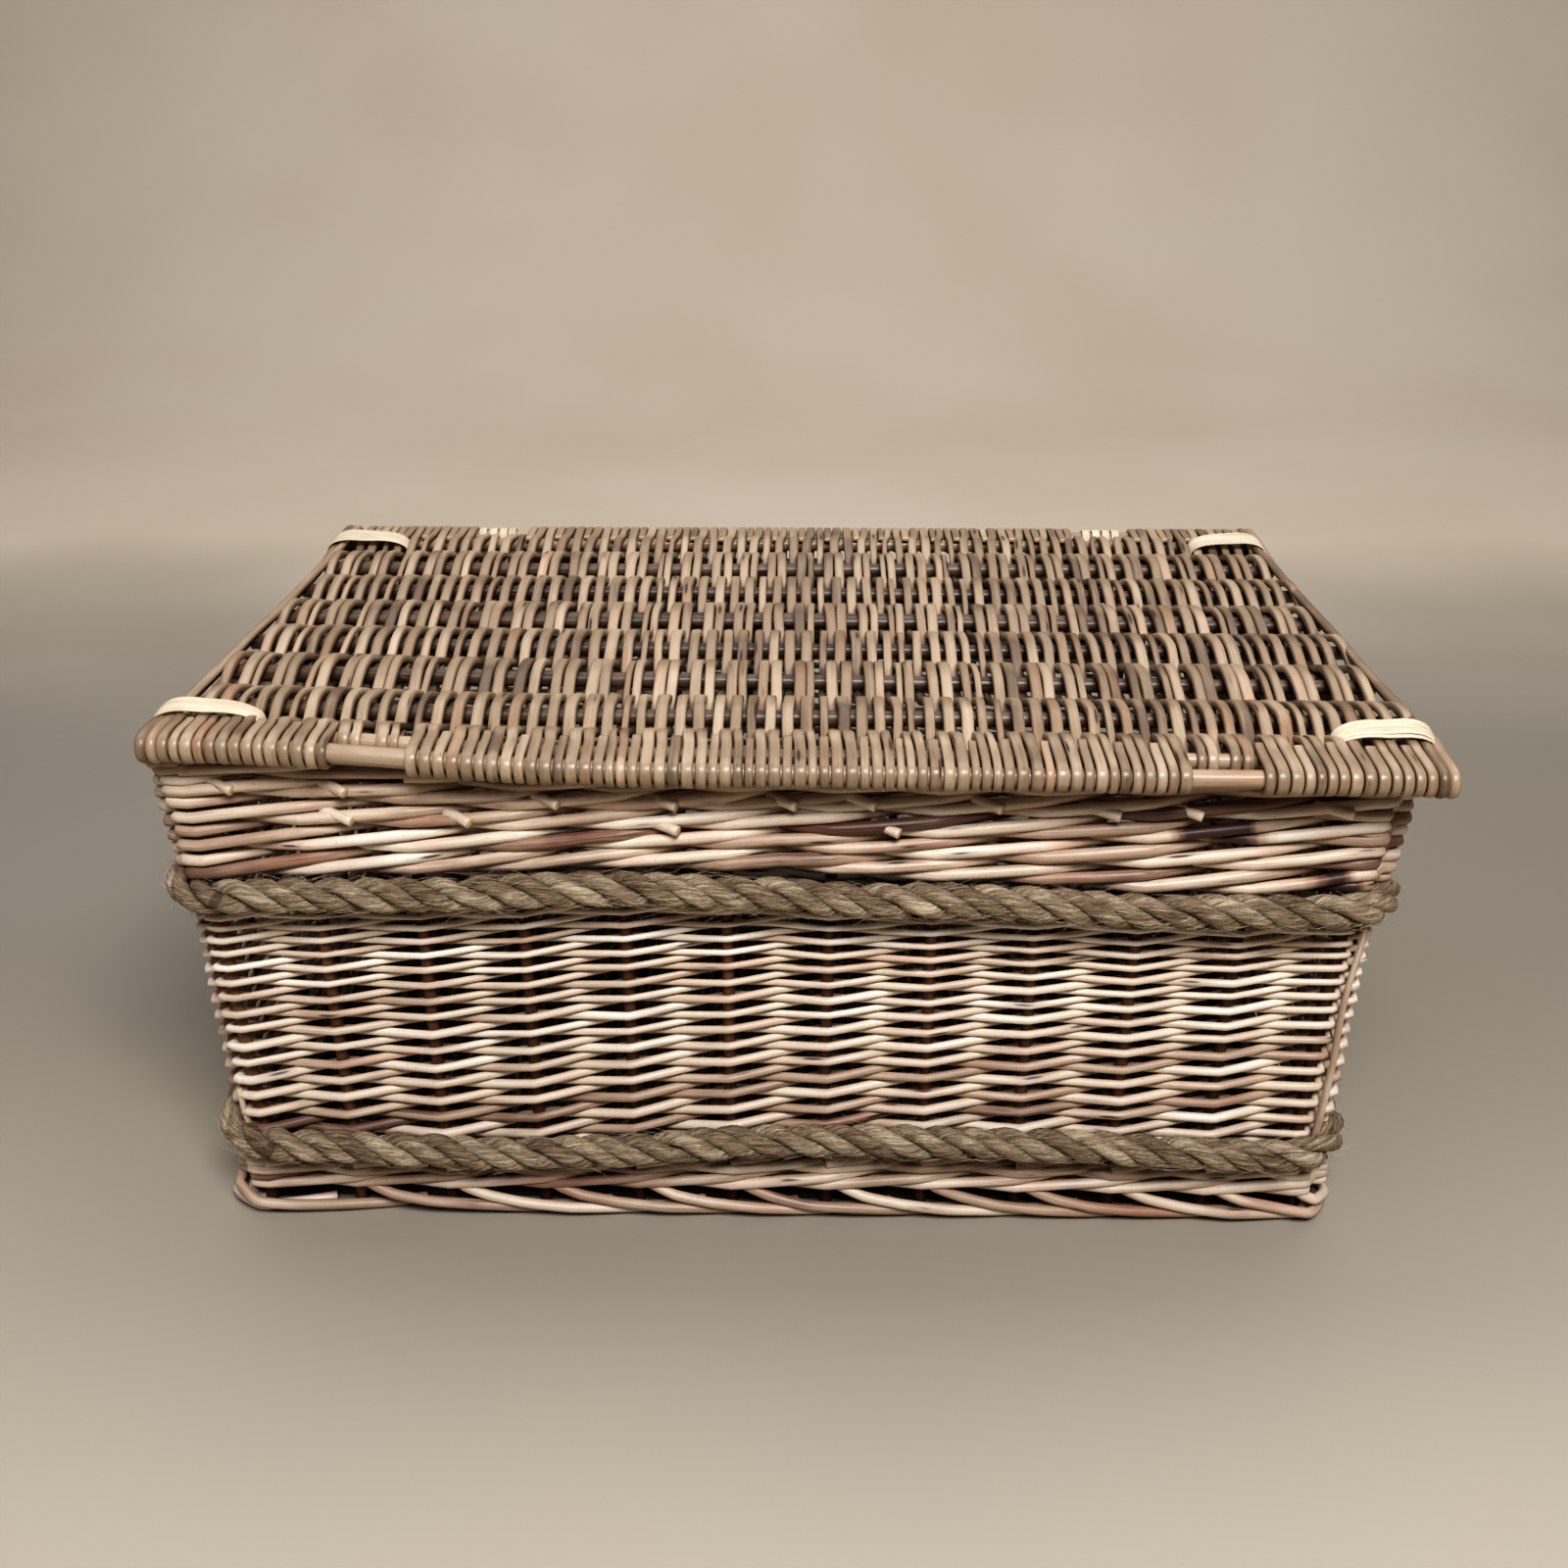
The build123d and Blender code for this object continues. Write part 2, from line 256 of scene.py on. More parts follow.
class Rods:
    """Collects rods, each a tube along its points, into one mesh with the attributes that its material
    reads: rod_place (length along the rod and place in its section) and rod_look (tone, warmth, cut)."""

    def __init__(self):
        self.points, self.faces, self.places, self.looks = [], [], [], []
        self.count = 0

    def add(self, points, wide, across, thick=None, tone=0.5, warm=0.5, sides=8, square=2.0, closed=False,
            ripple=None, capped=True):
        """A rod with half width wide along across and half thickness thick; square makes its section
        boxier, and ripple is (yarns round it, their depth, their twist per metre)."""
        p = np.array(points, float)
        n = len(p)
        if closed:
            t = unit(np.roll(p, -1, 0) - np.roll(p, 1, 0))
        else:
            t = unit(np.vstack([p[1:2] - p[:1], p[2:] - p[:-2], p[-1:] - p[-2:-1]]))
        ref = np.broadcast_to(np.array(across, float), (n, 3))
        u = unit(ref - (ref * t).sum(1, keepdims=True) * t)
        v = np.cross(t, u)
        wide = np.broadcast_to(np.array(wide, float), (n,))
        thick = wide if thick is None else np.broadcast_to(np.array(thick, float), (n,))
        steps = np.linalg.norm(np.diff(p, axis=0), axis=1)
        s = np.concatenate([[0], np.cumsum(steps)])
        angle = np.arange(sides) * 2 * np.pi / sides
        c, d = np.cos(angle), np.sin(angle)
        cc, dd = np.sign(c) * np.abs(c) ** (2 / square), np.sign(d) * np.abs(d) ** (2 / square)
        su, sv = wide[:, None] * cc, thick[:, None] * dd
        turned = angle[None, :] + np.zeros((n, 1))
        if ripple is not None:
            number, depth, rate = ripple
            turned = angle[None, :] + rate * s[:, None]
            bulge = 1 + depth * (np.abs(np.cos(number / 2 * turned)) ** 0.8 - 0.6)
            su, sv = su * bulge, sv * bulge
        ring = p[:, None] + su[..., None] * u[:, None] + sv[..., None] * v[:, None]
        seed = rng.uniform(0, 40)
        along = seed + s[:, None] + 0 * su
        place = np.stack([along, wide[:, None] * np.cos(turned), thick[:, None] * np.sin(turned)], -1)
        tone, warm = (np.broadcast_to(np.array(x, float), (n,)) for x in (tone, warm))
        parts = (tone, warm, 0 * tone, 1 + 0 * tone)
        look = np.stack([np.repeat(x[:, None], sides, 1) for x in parts], -1)
        index = self.count + np.arange(n * sides).reshape(n, sides)
        nxt = np.roll(index, -1, 1)
        if closed:
            below, above = index, np.roll(index, -1, 0)
            below_n, above_n = nxt, np.roll(nxt, -1, 0)
        else:
            below, above, below_n, above_n = index[:-1], index[1:], nxt[:-1], nxt[1:]
        self.faces += np.stack([below, below_n, above_n, above], -1).reshape(-1, 4).tolist()
        self.points.append(ring.reshape(-1, 3))
        self.places.append(place.reshape(-1, 3))
        self.looks.append(look.reshape(-1, 4))
        self.count += n * sides
        if not closed and capped:
            for end, way in ((0, -1), (n - 1, 1)):
                self._cap(p[end], t[end] * way, ring[end], place[end], look[end], index[end], way)

    def _cap(self, centre, outward, ring, place, look, index, way):
        """A cut end: a small bevel and a flat face, marked as cut wood."""
        sides = len(ring)
        reach = np.linalg.norm(ring - centre, axis=1).mean()
        bevel = centre + (ring - centre) * 0.82 + outward * reach * 0.12
        middle = centre + outward * reach * 0.14
        look = look.copy()
        look[:, 2] = 1.0
        self.points += [bevel, middle[None]]
        self.places += [place * [1, 0.82, 0.82], (place.mean(0) * [1, 0, 0])[None]]
        self.looks += [look, look[:1]]
        b = self.count + np.arange(sides)
        c = self.count + sides
        self.count += sides + 1
        for i in range(sides):
            j = (i + 1) % sides
            side_face = [index[j], index[i], b[i], b[j]]
            flat_face = [b[j], b[i], c]
            if way > 0:
                side_face, flat_face = side_face[::-1], flat_face[::-1]
            self.faces += [[int(x) for x in side_face], [int(x) for x in flat_face]]

    def make(self, name, body, slot, material, *nodes):
        """The mesh object, riding on its body and standing for its CAD nodes."""
        mesh = bpy.data.meshes.new(name)
        mesh.from_pydata(np.vstack(self.points).tolist(), [], self.faces)
        for key, kind, field, rows in (
            ("rod_place", "FLOAT_VECTOR", "vector", self.places),
            ("rod_look", "FLOAT_COLOR", "color", self.looks),
        ):
            layer = mesh.attributes.new(key, kind, "POINT")
            layer.data.foreach_set(field, np.vstack(rows).ravel())
        mesh.shade_smooth()
        mesh.materials.append(material)
        piece = new_object(name, mesh)
        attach(piece, body)
        if nodes:
            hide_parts(*nodes)


# ---- materials ----
class Nodes:
    """A short way to write a node tree."""

    def __init__(self, name):
        self.material = bpy.data.materials.new(name)
        self.material.use_nodes = True
        self.tree = self.material.node_tree
        self.tree.nodes.clear()
        self.shader = self.node("ShaderNodeBsdfPrincipled")
        out = self.node("ShaderNodeOutputMaterial")
        self.tree.links.new(self.shader.outputs[0], out.inputs[0])

    def node(self, kind, **settings):
        made = self.tree.nodes.new(kind)
        for key, value in settings.items():
            setattr(made, key, value)
        return made

    def put(self, value, socket):
        if isinstance(value, bpy.types.NodeSocket):
            self.tree.links.new(value, socket)
        else:
            socket.default_value = value

    def attribute(self, name, output="Vector"):
        return self.node("ShaderNodeAttribute", attribute_name=name).outputs[output]

    def math(self, operation, a, b=0.0):
        made = self.node("ShaderNodeMath", operation=operation)
        self.put(a, made.inputs[0])
        self.put(b, made.inputs[1])
        return made.outputs[0]

    def add(self, a, b):
        return self.math("ADD", a, b)

    def less(self, a, b):
        return self.math("SUBTRACT", a, b)

    def times(self, a, b):
        return self.math("MULTIPLY", a, b)

    def vary(self, value, pattern, amount):
        """The value, moved up and down by the pattern's distance from a half."""
        return self.add(value, self.times(self.less(pattern, 0.5), amount))

    def stretch(self, vector, scale):
        made = self.node("ShaderNodeVectorMath", operation="MULTIPLY")
        self.put(vector, made.inputs[0])
        made.inputs[1].default_value = scale
        return made.outputs[0]

    def noise(self, vector, scale, detail=3.0, rough=0.55):
        made = self.node("ShaderNodeTexNoise")
        self.put(self.stretch(vector, scale), made.inputs["Vector"])
        made.inputs["Scale"].default_value = 1.0
        made.inputs["Detail"].default_value = detail
        made.inputs["Roughness"].default_value = rough
        return made.outputs["Fac"]

    def cells(self, vector, scale):
        made = self.node("ShaderNodeTexVoronoi")
        self.put(self.stretch(vector, scale), made.inputs["Vector"])
        made.inputs["Scale"].default_value = 1.0
        return made.outputs["Distance"], made.outputs["Color"]

    def between(self, value, low, high, to_low=0.0, to_high=1.0):
        made = self.node("ShaderNodeMapRange", interpolation_type="SMOOTHSTEP")
        self.put(value, made.inputs["Value"])
        for key, number in (("From Min", low), ("From Max", high), ("To Min", to_low), ("To Max", to_high)):
            made.inputs[key].default_value = number
        return made.outputs["Result"]

    def ramp(self, value, stops):
        made = self.node("ShaderNodeValToRGB")
        made.color_ramp.interpolation = "EASE"
        while len(made.color_ramp.elements) < len(stops):
            made.color_ramp.elements.new(0.5)
        for element, (spot, colour) in zip(made.color_ramp.elements, stops):
            element.position = spot
            element.color = (*colour, 1)
        self.put(value, made.inputs[0])
        return made.outputs[0]

    def mix(self, factor, a, b, blend="MIX"):
        made = self.node("ShaderNodeMix", data_type="RGBA", blend_type=blend)
        self.put(factor, made.inputs["Factor"])
        for value, socket in ((a, made.inputs[6]), (b, made.inputs[7])):
            self.put((*value, 1) if isinstance(value, tuple) else value, socket)
        return made.outputs[2]

    def parts(self, colour):
        made = self.node("ShaderNodeSeparateColor")
        self.put(colour, made.inputs[0])
        return made.outputs[0], made.outputs[1], made.outputs[2]

    def bump(self, height, depth, strength=1.0):
        made = self.node("ShaderNodeBump")
        made.inputs["Distance"].default_value = depth
        made.inputs["Strength"].default_value = strength
        self.put(height, made.inputs["Height"])
        self.tree.links.new(made.outputs[0], self.shader.inputs["Normal"])


def willow(name, stops, roughness, blush, speck=0.62, sheen=0.0):
    """Peeled willow: each rod has its own tone, with long grain, blotches, bud scars and pale cut ends.
    blush tints its warm stretches, and a higher speck leaves fewer bud scars."""
    n = Nodes(name)
    place = n.attribute("rod_place")
    tone, warm, cut = n.parts(n.attribute("rod_look", "Color"))
    streak = n.noise(place, (22, 900, 900), 4)
    blotch = n.noise(place, (14, 60, 60), 3)
    fine = n.noise(place, (160, 2600, 2600), 2)
    value = n.vary(tone, blotch, 0.62)
    value = n.vary(value, streak, 0.34)
    colour = n.ramp(value, stops)
    pink = n.times(n.between(n.noise(place, (9, 30, 30), 2), 0.45, 0.7), warm)
    colour = n.mix(pink, colour, n.mix(1.0, colour, blush, "MULTIPLY"))
    distance, random = n.cells(place, (24, 190, 190))
    chosen = n.between(n.parts(random)[0], speck, speck + 0.02)
    scar = n.times(n.between(distance, 0.10, 0.22, 1.0, 0.0), chosen)
    halo = n.times(n.between(distance, 0.2, 0.5, 0.25, 0.0), chosen)
    colour = n.mix(halo, colour, (0.20, 0.11, 0.06))
    colour = n.mix(n.times(scar, 0.85), colour, (0.035, 0.020, 0.012))
    pores = n.between(n.noise(place, (420, 1500, 1500), 1), 0.66, 0.74)
    colour = n.mix(n.times(pores, 0.35), colour, (0.10, 0.055, 0.03))
    ends = n.mix(n.between(streak, 0.4, 0.6), (0.72, 0.56, 0.36), (0.52, 0.37, 0.21))
    colour = n.mix(cut, colour, ends)
    n.put(colour, n.shader.inputs["Base Color"])
    n.put(n.between(blotch, 0.3, 0.7, roughness, roughness + 0.16), n.shader.inputs["Roughness"])
    n.shader.inputs["Coat Weight"].default_value = sheen
    n.shader.inputs["Coat Roughness"].default_value = 0.32
    height = n.add(n.times(streak, 0.7), n.times(fine, 0.3))
    height = n.less(height, n.times(scar, 0.8))
    n.bump(height, 0.0004, 0.8)
    return n.material


def jute(name):
    """Twisted jute: dull brown fibres along the yarns, with light and dark ones among them."""
    n = Nodes(name)
    place = n.attribute("rod_place")
    tone = n.parts(n.attribute("rod_look", "Color"))[0]
    fibre = n.noise(place, (110, 1700, 1700), 4, 0.65)
    clump = n.noise(place, (55, 420, 420), 3)
    patch = n.noise(place, (12, 40, 40), 2)
    value = n.add(n.times(fibre, 0.75), n.times(clump, 0.45))
    value = n.vary(value, patch, 0.3)
    value = n.add(value, n.less(tone, 0.6))
    colour = n.ramp(value, [(0.28, (0.035, 0.022, 0.013)), (0.47, (0.135, 0.090, 0.052)),
                            (0.60, (0.315, 0.236, 0.160)), (0.82, (0.740, 0.620, 0.460))])
    n.put(colour, n.shader.inputs["Base Color"])
    n.shader.inputs["Roughness"].default_value = 0.88
    n.shader.inputs["Specular IOR Level"].default_value = 0.25
    n.bump(n.add(fibre, n.times(clump, 0.8)), 0.0011, 1.0)
    return n.material


def cane_strip(name):
    """Split cane: pale cream, with fine long grain."""
    n = Nodes(name)
    place = n.attribute("rod_place")
    tone = n.parts(n.attribute("rod_look", "Color"))[0]
    streak = n.noise(place, (30, 1800, 1800), 4)
    patch = n.noise(place, (40, 150, 150), 2)
    value = n.add(n.times(streak, 0.7), n.times(patch, 0.3))
    value = n.add(value, n.less(tone, 0.5))
    colour = n.ramp(value, [(0.25, (0.40, 0.29, 0.18)), (0.45, (0.62, 0.52, 0.37)),
                            (0.70, (0.74, 0.65, 0.50))])
    n.put(colour, n.shader.inputs["Base Color"])
    n.put(n.between(patch, 0.3, 0.7, 0.42, 0.58), n.shader.inputs["Roughness"])
    n.bump(streak, 0.0003, 0.9)
    return n.material


PALE = willow(
    "white_willow",
    [(0.05, (0.080, 0.042, 0.030)), (0.25, (0.220, 0.130, 0.092)), (0.45, (0.490, 0.360, 0.262)),
     (0.68, (0.730, 0.610, 0.480)), (0.95, (0.880, 0.800, 0.680))],
    0.40, (0.86, 0.68, 0.64), sheen=0.2,
)
BUFF = willow(
    "buff_willow",
    [(0.05, (0.090, 0.060, 0.038)), (0.3, (0.200, 0.139, 0.089)), (0.5, (0.355, 0.262, 0.172)),
     (0.7, (0.490, 0.379, 0.262)), (0.95, (0.650, 0.530, 0.395))],
    0.36, (0.95, 0.78, 0.70), speck=0.70, sheen=0.50,
)
BROWN = willow(
    "brown_willow",
    [(0.1, (0.060, 0.030, 0.017)), (0.4, (0.150, 0.078, 0.042)), (0.7, (0.270, 0.155, 0.088)),
     (0.95, (0.400, 0.260, 0.155))],
    0.52, (0.90, 0.70, 0.62),
)
JUTE = jute("jute")
CANE = cane_strip("cane")


# ---- basket: rods woven round the uprights ----
def anchors_round(step, outside, reach, z, before, after):
    """Where a rod touches one upright: inside it, outside it, or bent sharply round it at a corner."""
    place, outward, kind = UPRIGHTS[step % TURN]
    if not outside:
        return [[*(place - outward * reach), z]]
    ahead = np.array([-outward[1], outward[0]])
    spots = [place + outward * reach]
    if kind == 2:
        spots = [place + outward * reach - ahead * 0.002, place + unit(outward + ahead) * reach * 1.22]
        if after:
            spots.append(place + ahead * reach * 1.05 + outward * 0.001)
    if kind == 1:
        spots = [place + unit(outward - ahead) * reach * 1.22, place + outward * reach + ahead * 0.002]
        if before:
            spots.insert(0, place - ahead * reach * 1.05 + outward * 0.001)
    return [[*spot, z] for spot in spots]


def weave_round(rods, start, heights, radii, is_outside, tone, warm, sides=8):
    """One rod that starts at an upright and rises one row at each upright that it passes."""
    anchors, sizes = [], []
    rows = len(heights)
    for row in range(rows):
        outside = is_outside(row)
        reach = STAKE_R + radii[row] + rng.normal(0, 0.0003)
        if outside and UPRIGHTS[(start + row) % TURN][2] == 1:
            reach += 0.002
        z = heights[row] + rng.normal(0, 0.0004)
        new = anchors_round(start + row, outside, reach, z, is_outside(row - 1), is_outside(row + 1))
        anchors += new
        sizes += [radii[row]] * len(new)
    for step, near, at in ((start - 1, anchors[0], 0), (start + rows, anchors[-1], len(anchors))):
        place, outward, _ = UPRIGHTS[step % TURN]
        far = np.array([*(place - outward * reach), near[2]])
        anchors.insert(at, list(np.array(near) * 0.5 + far * 0.5 - [0, 0, 0.001]))
        sizes.insert(at, sizes[0] if at == 0 else sizes[-1])
    points, spots = flowing(anchors, stiffness=0.15)
    sizes = np.interp(spots, np.arange(len(sizes)), sizes)
    tones = tone(spots / spots[-1], points)
    rods.add(settle_basket(points), sizes, (0, 0, 1), tone=tones, warm=warm, sides=sides)


def walls(band):
    """The CAD nodes of one band on the four walls."""
    return [f"{wall}_{band}" for wall in ("front", "back", "left", "right")]


def make_side_weave():
    """The walls' thin rods: each passes in front of one upright and behind the next, a row higher. They
    reach a little past their band at both ends, behind the ropes, with more rows out of sight below."""
    low = corners_of("front_weave")[0][2]
    high = corners_of("front_weave")[1][2]
    butt_r, tip_r = 0.0032, 0.0018
    share = np.linspace(0, 1, SIDE_ROWS)
    gaps = 1.2 - 0.55 * share[:-1] ** 2
    heights = np.concatenate([[0], np.cumsum(gaps)])
    bottom, top = low - 0.0112, high + 0.012
    heights = bottom + heights / heights[-1] * (top - bottom - tip_r)
    radii = butt_r + (tip_r - butt_r) * share**0.8
    first_gap = heights[1] - heights[0]
    heights = np.concatenate([heights[0] - first_gap * np.arange(HIDDEN_ROWS, 0, -1), heights])
    radii = np.concatenate([[butt_r] * HIDDEN_ROWS, radii])
    rods = Rods()
    for start in range(TURN):
        size = rng.normal(1, 0.07)
        dark = rng.random() < 0.24
        lightness = rng.normal(0.78, 0.08)

        def tone(share, points, dark=dark, lightness=lightness):
            return lightness - (0.62 if dark else 0.16) * (1 - share) ** 2.6

        weave_round(rods, start, heights, radii * size, lambda row: row % 2 == 1, tone,
                    rng.uniform(0.2, 1.0))
    # a thin rod stands in front of the posts at the front right, and a short one at the front left
    heights = np.linspace(low - 0.008, high + 0.004, 20)
    x = RIGHT_X - POST_INSET + 0.0095 + 0.0010 * np.sin(heights * 60)
    y = FRONT_Y - 0.0095 + 0.0008 * np.sin(heights * 47 + 1)
    rods.add(settle_basket(np.column_stack([x, y, heights])), np.linspace(0.0026, 0.0020, 20), (0, -1, 0),
             tone=0.56, warm=0.3)
    heights = np.linspace(low - 0.006, low + 0.026, 6)
    x = LEFT_X + POST_INSET - 0.0085 + 0 * heights
    y = FRONT_Y - 0.008 + 0 * heights
    rods.add(settle_basket(np.column_stack([x, y, heights])), 0.0021, (0, -1, 0), tone=0.5, warm=0.3)
    rods.make("side_weave", "basket", "willow_side", PALE, *walls("weave"))


def wale_heights(low, rows, pitch):
    """Heights of a three-rod wale's rows: behind one upright, then outside two."""
    return [low + (row // 3) * 2 * pitch + (0, 0.5 * pitch, 1.5 * pitch)[row % 3] for row in range(rows)]


def weave_wale(band, rows, radius, drop, rise=0, bark=()):
    """A band of thicker rods, each behind one upright and in front of the next two, reaching drop below
    its CAD band and rise above it, with strips of dark bark at bark's (x, z, length)."""
    low = corners_of(f"front_{band}")[0][2] - drop
    high = corners_of(f"front_{band}")[1][2] + rise
    turns = wale_heights(0, rows, 1.0)[-1]
    pitch = (high - low - 2 * radius) / (turns - 0.5)
    heights = wale_heights(low + radius - pitch / 2, rows, pitch)
    rods = Rods()
    for start in range(TURN):
        size = rng.normal(1, 0.07)
        lightness = rng.normal(0.66, 0.09) - (0.2 if rng.random() < 0.15 else 0)

        def tone(share, points, lightness=lightness):
            value = lightness + 0.06 * np.sin(share * 9 + start)
            for x, z, length in bark:
                near = ((points[:, 0] - x) / length) ** 2 + ((points[:, 2] - z) / 0.005) ** 2
                value = value - 1.3 * np.exp(-(near**2)) * (points[:, 1] < 0)
            return value

        weave_round(rods, start, heights, [radius * size] * rows, lambda row: row % 3 != 0, tone,
                    rng.uniform(0.2, 1.0), sides=12)
    return rods, heights


def place_beside(step, share, off, z):
    """A point between one upright and the next, off outwards from the line of uprights."""
    here, outward, _ = UPRIGHTS[int(step) % TURN]
    there, outward_there, _ = UPRIGHTS[int(step + 1) % TURN]
    spot = here * (1 - share) + there * share
    way = unit(outward * (1 - share) + outward_there * share)
    corner = 1 - outward @ outward_there
    return [*(spot + way * (off + corner * 4 * share * (1 - share) * POST_INSET * 0.5)), z]


def make_upper_wale():
    """The wale under the rim, with cut butt ends standing out of it in two rows."""
    bark = [(0.262, 0.2935, 0.022), (0.328, 0.2645, 0.014)]
    rods, heights = weave_wale("upper_wale", rows=14, radius=0.0037, drop=0.0020, rise=0.009, bark=bark)
    top = heights[-1]
    for step in range(TURN):
        if UPRIGHTS[step][2] == 2:
            continue
        for level, left_out in ((top - 0.011, 0.15), (top - 0.026, 0.55)):
            if rng.random() < left_out:
                continue
            z = level + rng.normal(0, 0.0015)
            share = rng.uniform(0.10, 0.45)
            tip_share = share + 0.25 + rng.uniform(0, 0.06)
            run = [
                place_beside(step, share, 0.005, z + 0.0018),
                place_beside(step, share + 0.14, 0.0092, z + 0.0010),
                place_beside(step, tip_share, 0.0128 + rng.uniform(0, 0.0015), z - 0.0006),
            ]
            points, _ = flowing(run, steps=3)
            rods.add(settle_basket(points), 0.0033, (0, 0, 1), tone=0.66, warm=0.2, sides=12)
    rods.make("upper_wale", "basket", "willow_side", PALE, *walls("upper_wale"))


def make_lower_wale():
    """The wale just above the foot."""
    rods, _ = weave_wale("lower_wale", rows=6, radius=0.0034, drop=0.0050)
    rods.make("lower_wale", "basket", "willow_side", PALE, *walls("lower_wale"))


def border_rod(rods, step, stations, tone):
    """A rod bent down from one upright: stations are (uprights along, outwards, height)."""
    anchors = []
    for along, off, z in stations:
        whole = math.floor(along)
        anchors.append(place_beside(step + whole, along - whole, off, z))
    points, _ = flowing(anchors, steps=5)
    place, outward, _ = UPRIGHTS[step % TURN]
    ref = np.tile([*outward, 0.3], (len(points), 1))
    for i, p in enumerate(points):
        nearest = min(UPRIGHTS, key=lambda u: np.linalg.norm(u[0] - p[:2]))
        ref[i, :2] = nearest[1]
    rods.add(settle_basket(points), BORDER_R, ref, tone=tone, warm=rng.uniform(0.4, 1), sides=10)


def add_ring(rods, off, z, radius, tone):
    """A closed rod round the whole basket, off outwards from the line of uprights."""
    ring = [place_beside(step, 0.5, off, z) for step in range(TURN)]
    points, _ = flowing(ring + ring[:1], steps=4)
    rods.add(settle_basket(points[:-1]), radius, (0, 0, 1), tone=tone, closed=True, sides=8)


def make_foot_border():
    """The stakes' butt ends, laid behind each other round the foot, and dark rings inside. The dark rings
    are painted shade: they fill the gaps behind the foot, where there is only shadow.
    """
    rods = Rods()
    stations = [(0, 0.0, 0.036), (0.03, 0.002, 0.0285), (0.14, 0.0055, 0.0225), (0.4, 0.0090, 0.0172),
                (0.8, 0.0112, 0.0122), (1.3, 0.0110, 0.0086), (1.8, 0.0080, 0.0060), (2.3, 0.003, 0.0045),
                (2.7, -0.003, 0.0042)]
    for step in range(TURN):
        if UPRIGHTS[step][2] == 1:
            continue
        lightness = rng.normal(0.54, 0.10)
        moved = []
        for along, off, z in stations:
            off += rng.normal(0, 0.0004)
            moved.append((along, off, z + rng.normal(0, 0.0004) * (z > 0.006)))
        border_rod(rods, step, moved, lightness)
    # painted shade: three near-black rings set behind the foot rods, where there is only shadow
    for z in (0.0065, 0.0135, 0.0205):
        add_ring(rods, -0.0095, z, radius=0.0040, tone=0.0)
    rods.make("foot_border", "basket", "willow_side", PALE, *walls("foot_border"))


def make_rim_border():
    """The stakes' tops, bent over: behind one upright, out over the next two, and in again."""
    rods = Rods()
    top = RIM_TOP - BORDER_R
    stations = [(-0.02, 0.0, top - 0.022), (0.1, -0.004, top - 0.012), (1.0, -0.0085, top - 0.0095),
                (1.5, 0.0, top - 0.0085), (2.0, 0.0082, top - 0.0065), (2.6, 0.0092, top - 0.0035),
                (3.2, 0.0075, top - 0.0008), (3.6, 0.001, top), (4.0, -0.006, top - 0.002)]
    for step in range(TURN):
        if UPRIGHTS[step][2] == 1:
            continue
        moved = []
        for along, off, z in stations:
            off += rng.normal(0, 0.0003)
            moved.append((along, off, z - abs(rng.normal(0, 0.0004))))
        border_rod(rods, step, moved, rng.normal(0.55, 0.08))
    for off, z in ((0.0, top - 0.010), (-0.0065, top - 0.004)):
        add_ring(rods, off, z, radius=BORDER_R, tone=0.45)
    rods.make("rim_border", "basket", "willow_side", PALE, *walls("rim_border"))


def make_uprights():
    """The stakes and the two posts at each corner."""
    rods = Rods()
    for place, outward, kind in UPRIGHTS:
        heights = np.linspace(0.006, 0.318, 14)
        wander = rng.normal(0, 0.0006, 2)
        xy = place + np.sin(heights * 14)[:, None] * wander
        points = np.column_stack([xy, heights])
        tone = rng.normal(0.42, 0.12) + (0.1 if kind else 0)
        rods.add(settle_basket(points), STAKE_R, (*outward, 0), tone=tone, warm=0.8, sides=10)
    rods.make("uprights", "basket", "willow_stake", BROWN, *walls("stakes"), "corner_posts")


# ---- basket: ropes ----
def rounded_route(low, high, radius, bend, spacing):
    """Points along a rounded rectangle inside a box, anticlockwise from above, with outward directions."""
    x0, y0 = low[0] + radius, low[1] + radius
    x1, y1 = high[0] - radius, high[1] - radius
    points, outward = [], []
    corners = [((x1 - bend, y0 + bend), -90), ((x1 - bend, y1 - bend), 0), ((x0 + bend, y1 - bend), 90),
               ((x0 + bend, y0 + bend), 180)]
    last = np.array([x0 + bend, y0])
    for centre, angle in corners:
        way = heading(angle)
        first = np.array(centre) + bend * way
        count = max(2, round(np.linalg.norm(first - last) / spacing))
        for i in range(count):
            points.append(last + (first - last) * i / count)
            outward.append(way)
        count = max(4, round(bend * math.pi / 2 / spacing))
        for i in range(count):
            way = heading(angle + 90 * i / count)
            points.append(np.array(centre) + bend * way)
            outward.append(way)
        last = np.array(centre) + bend * heading(angle + 90)
    return np.array(points), np.array(outward)


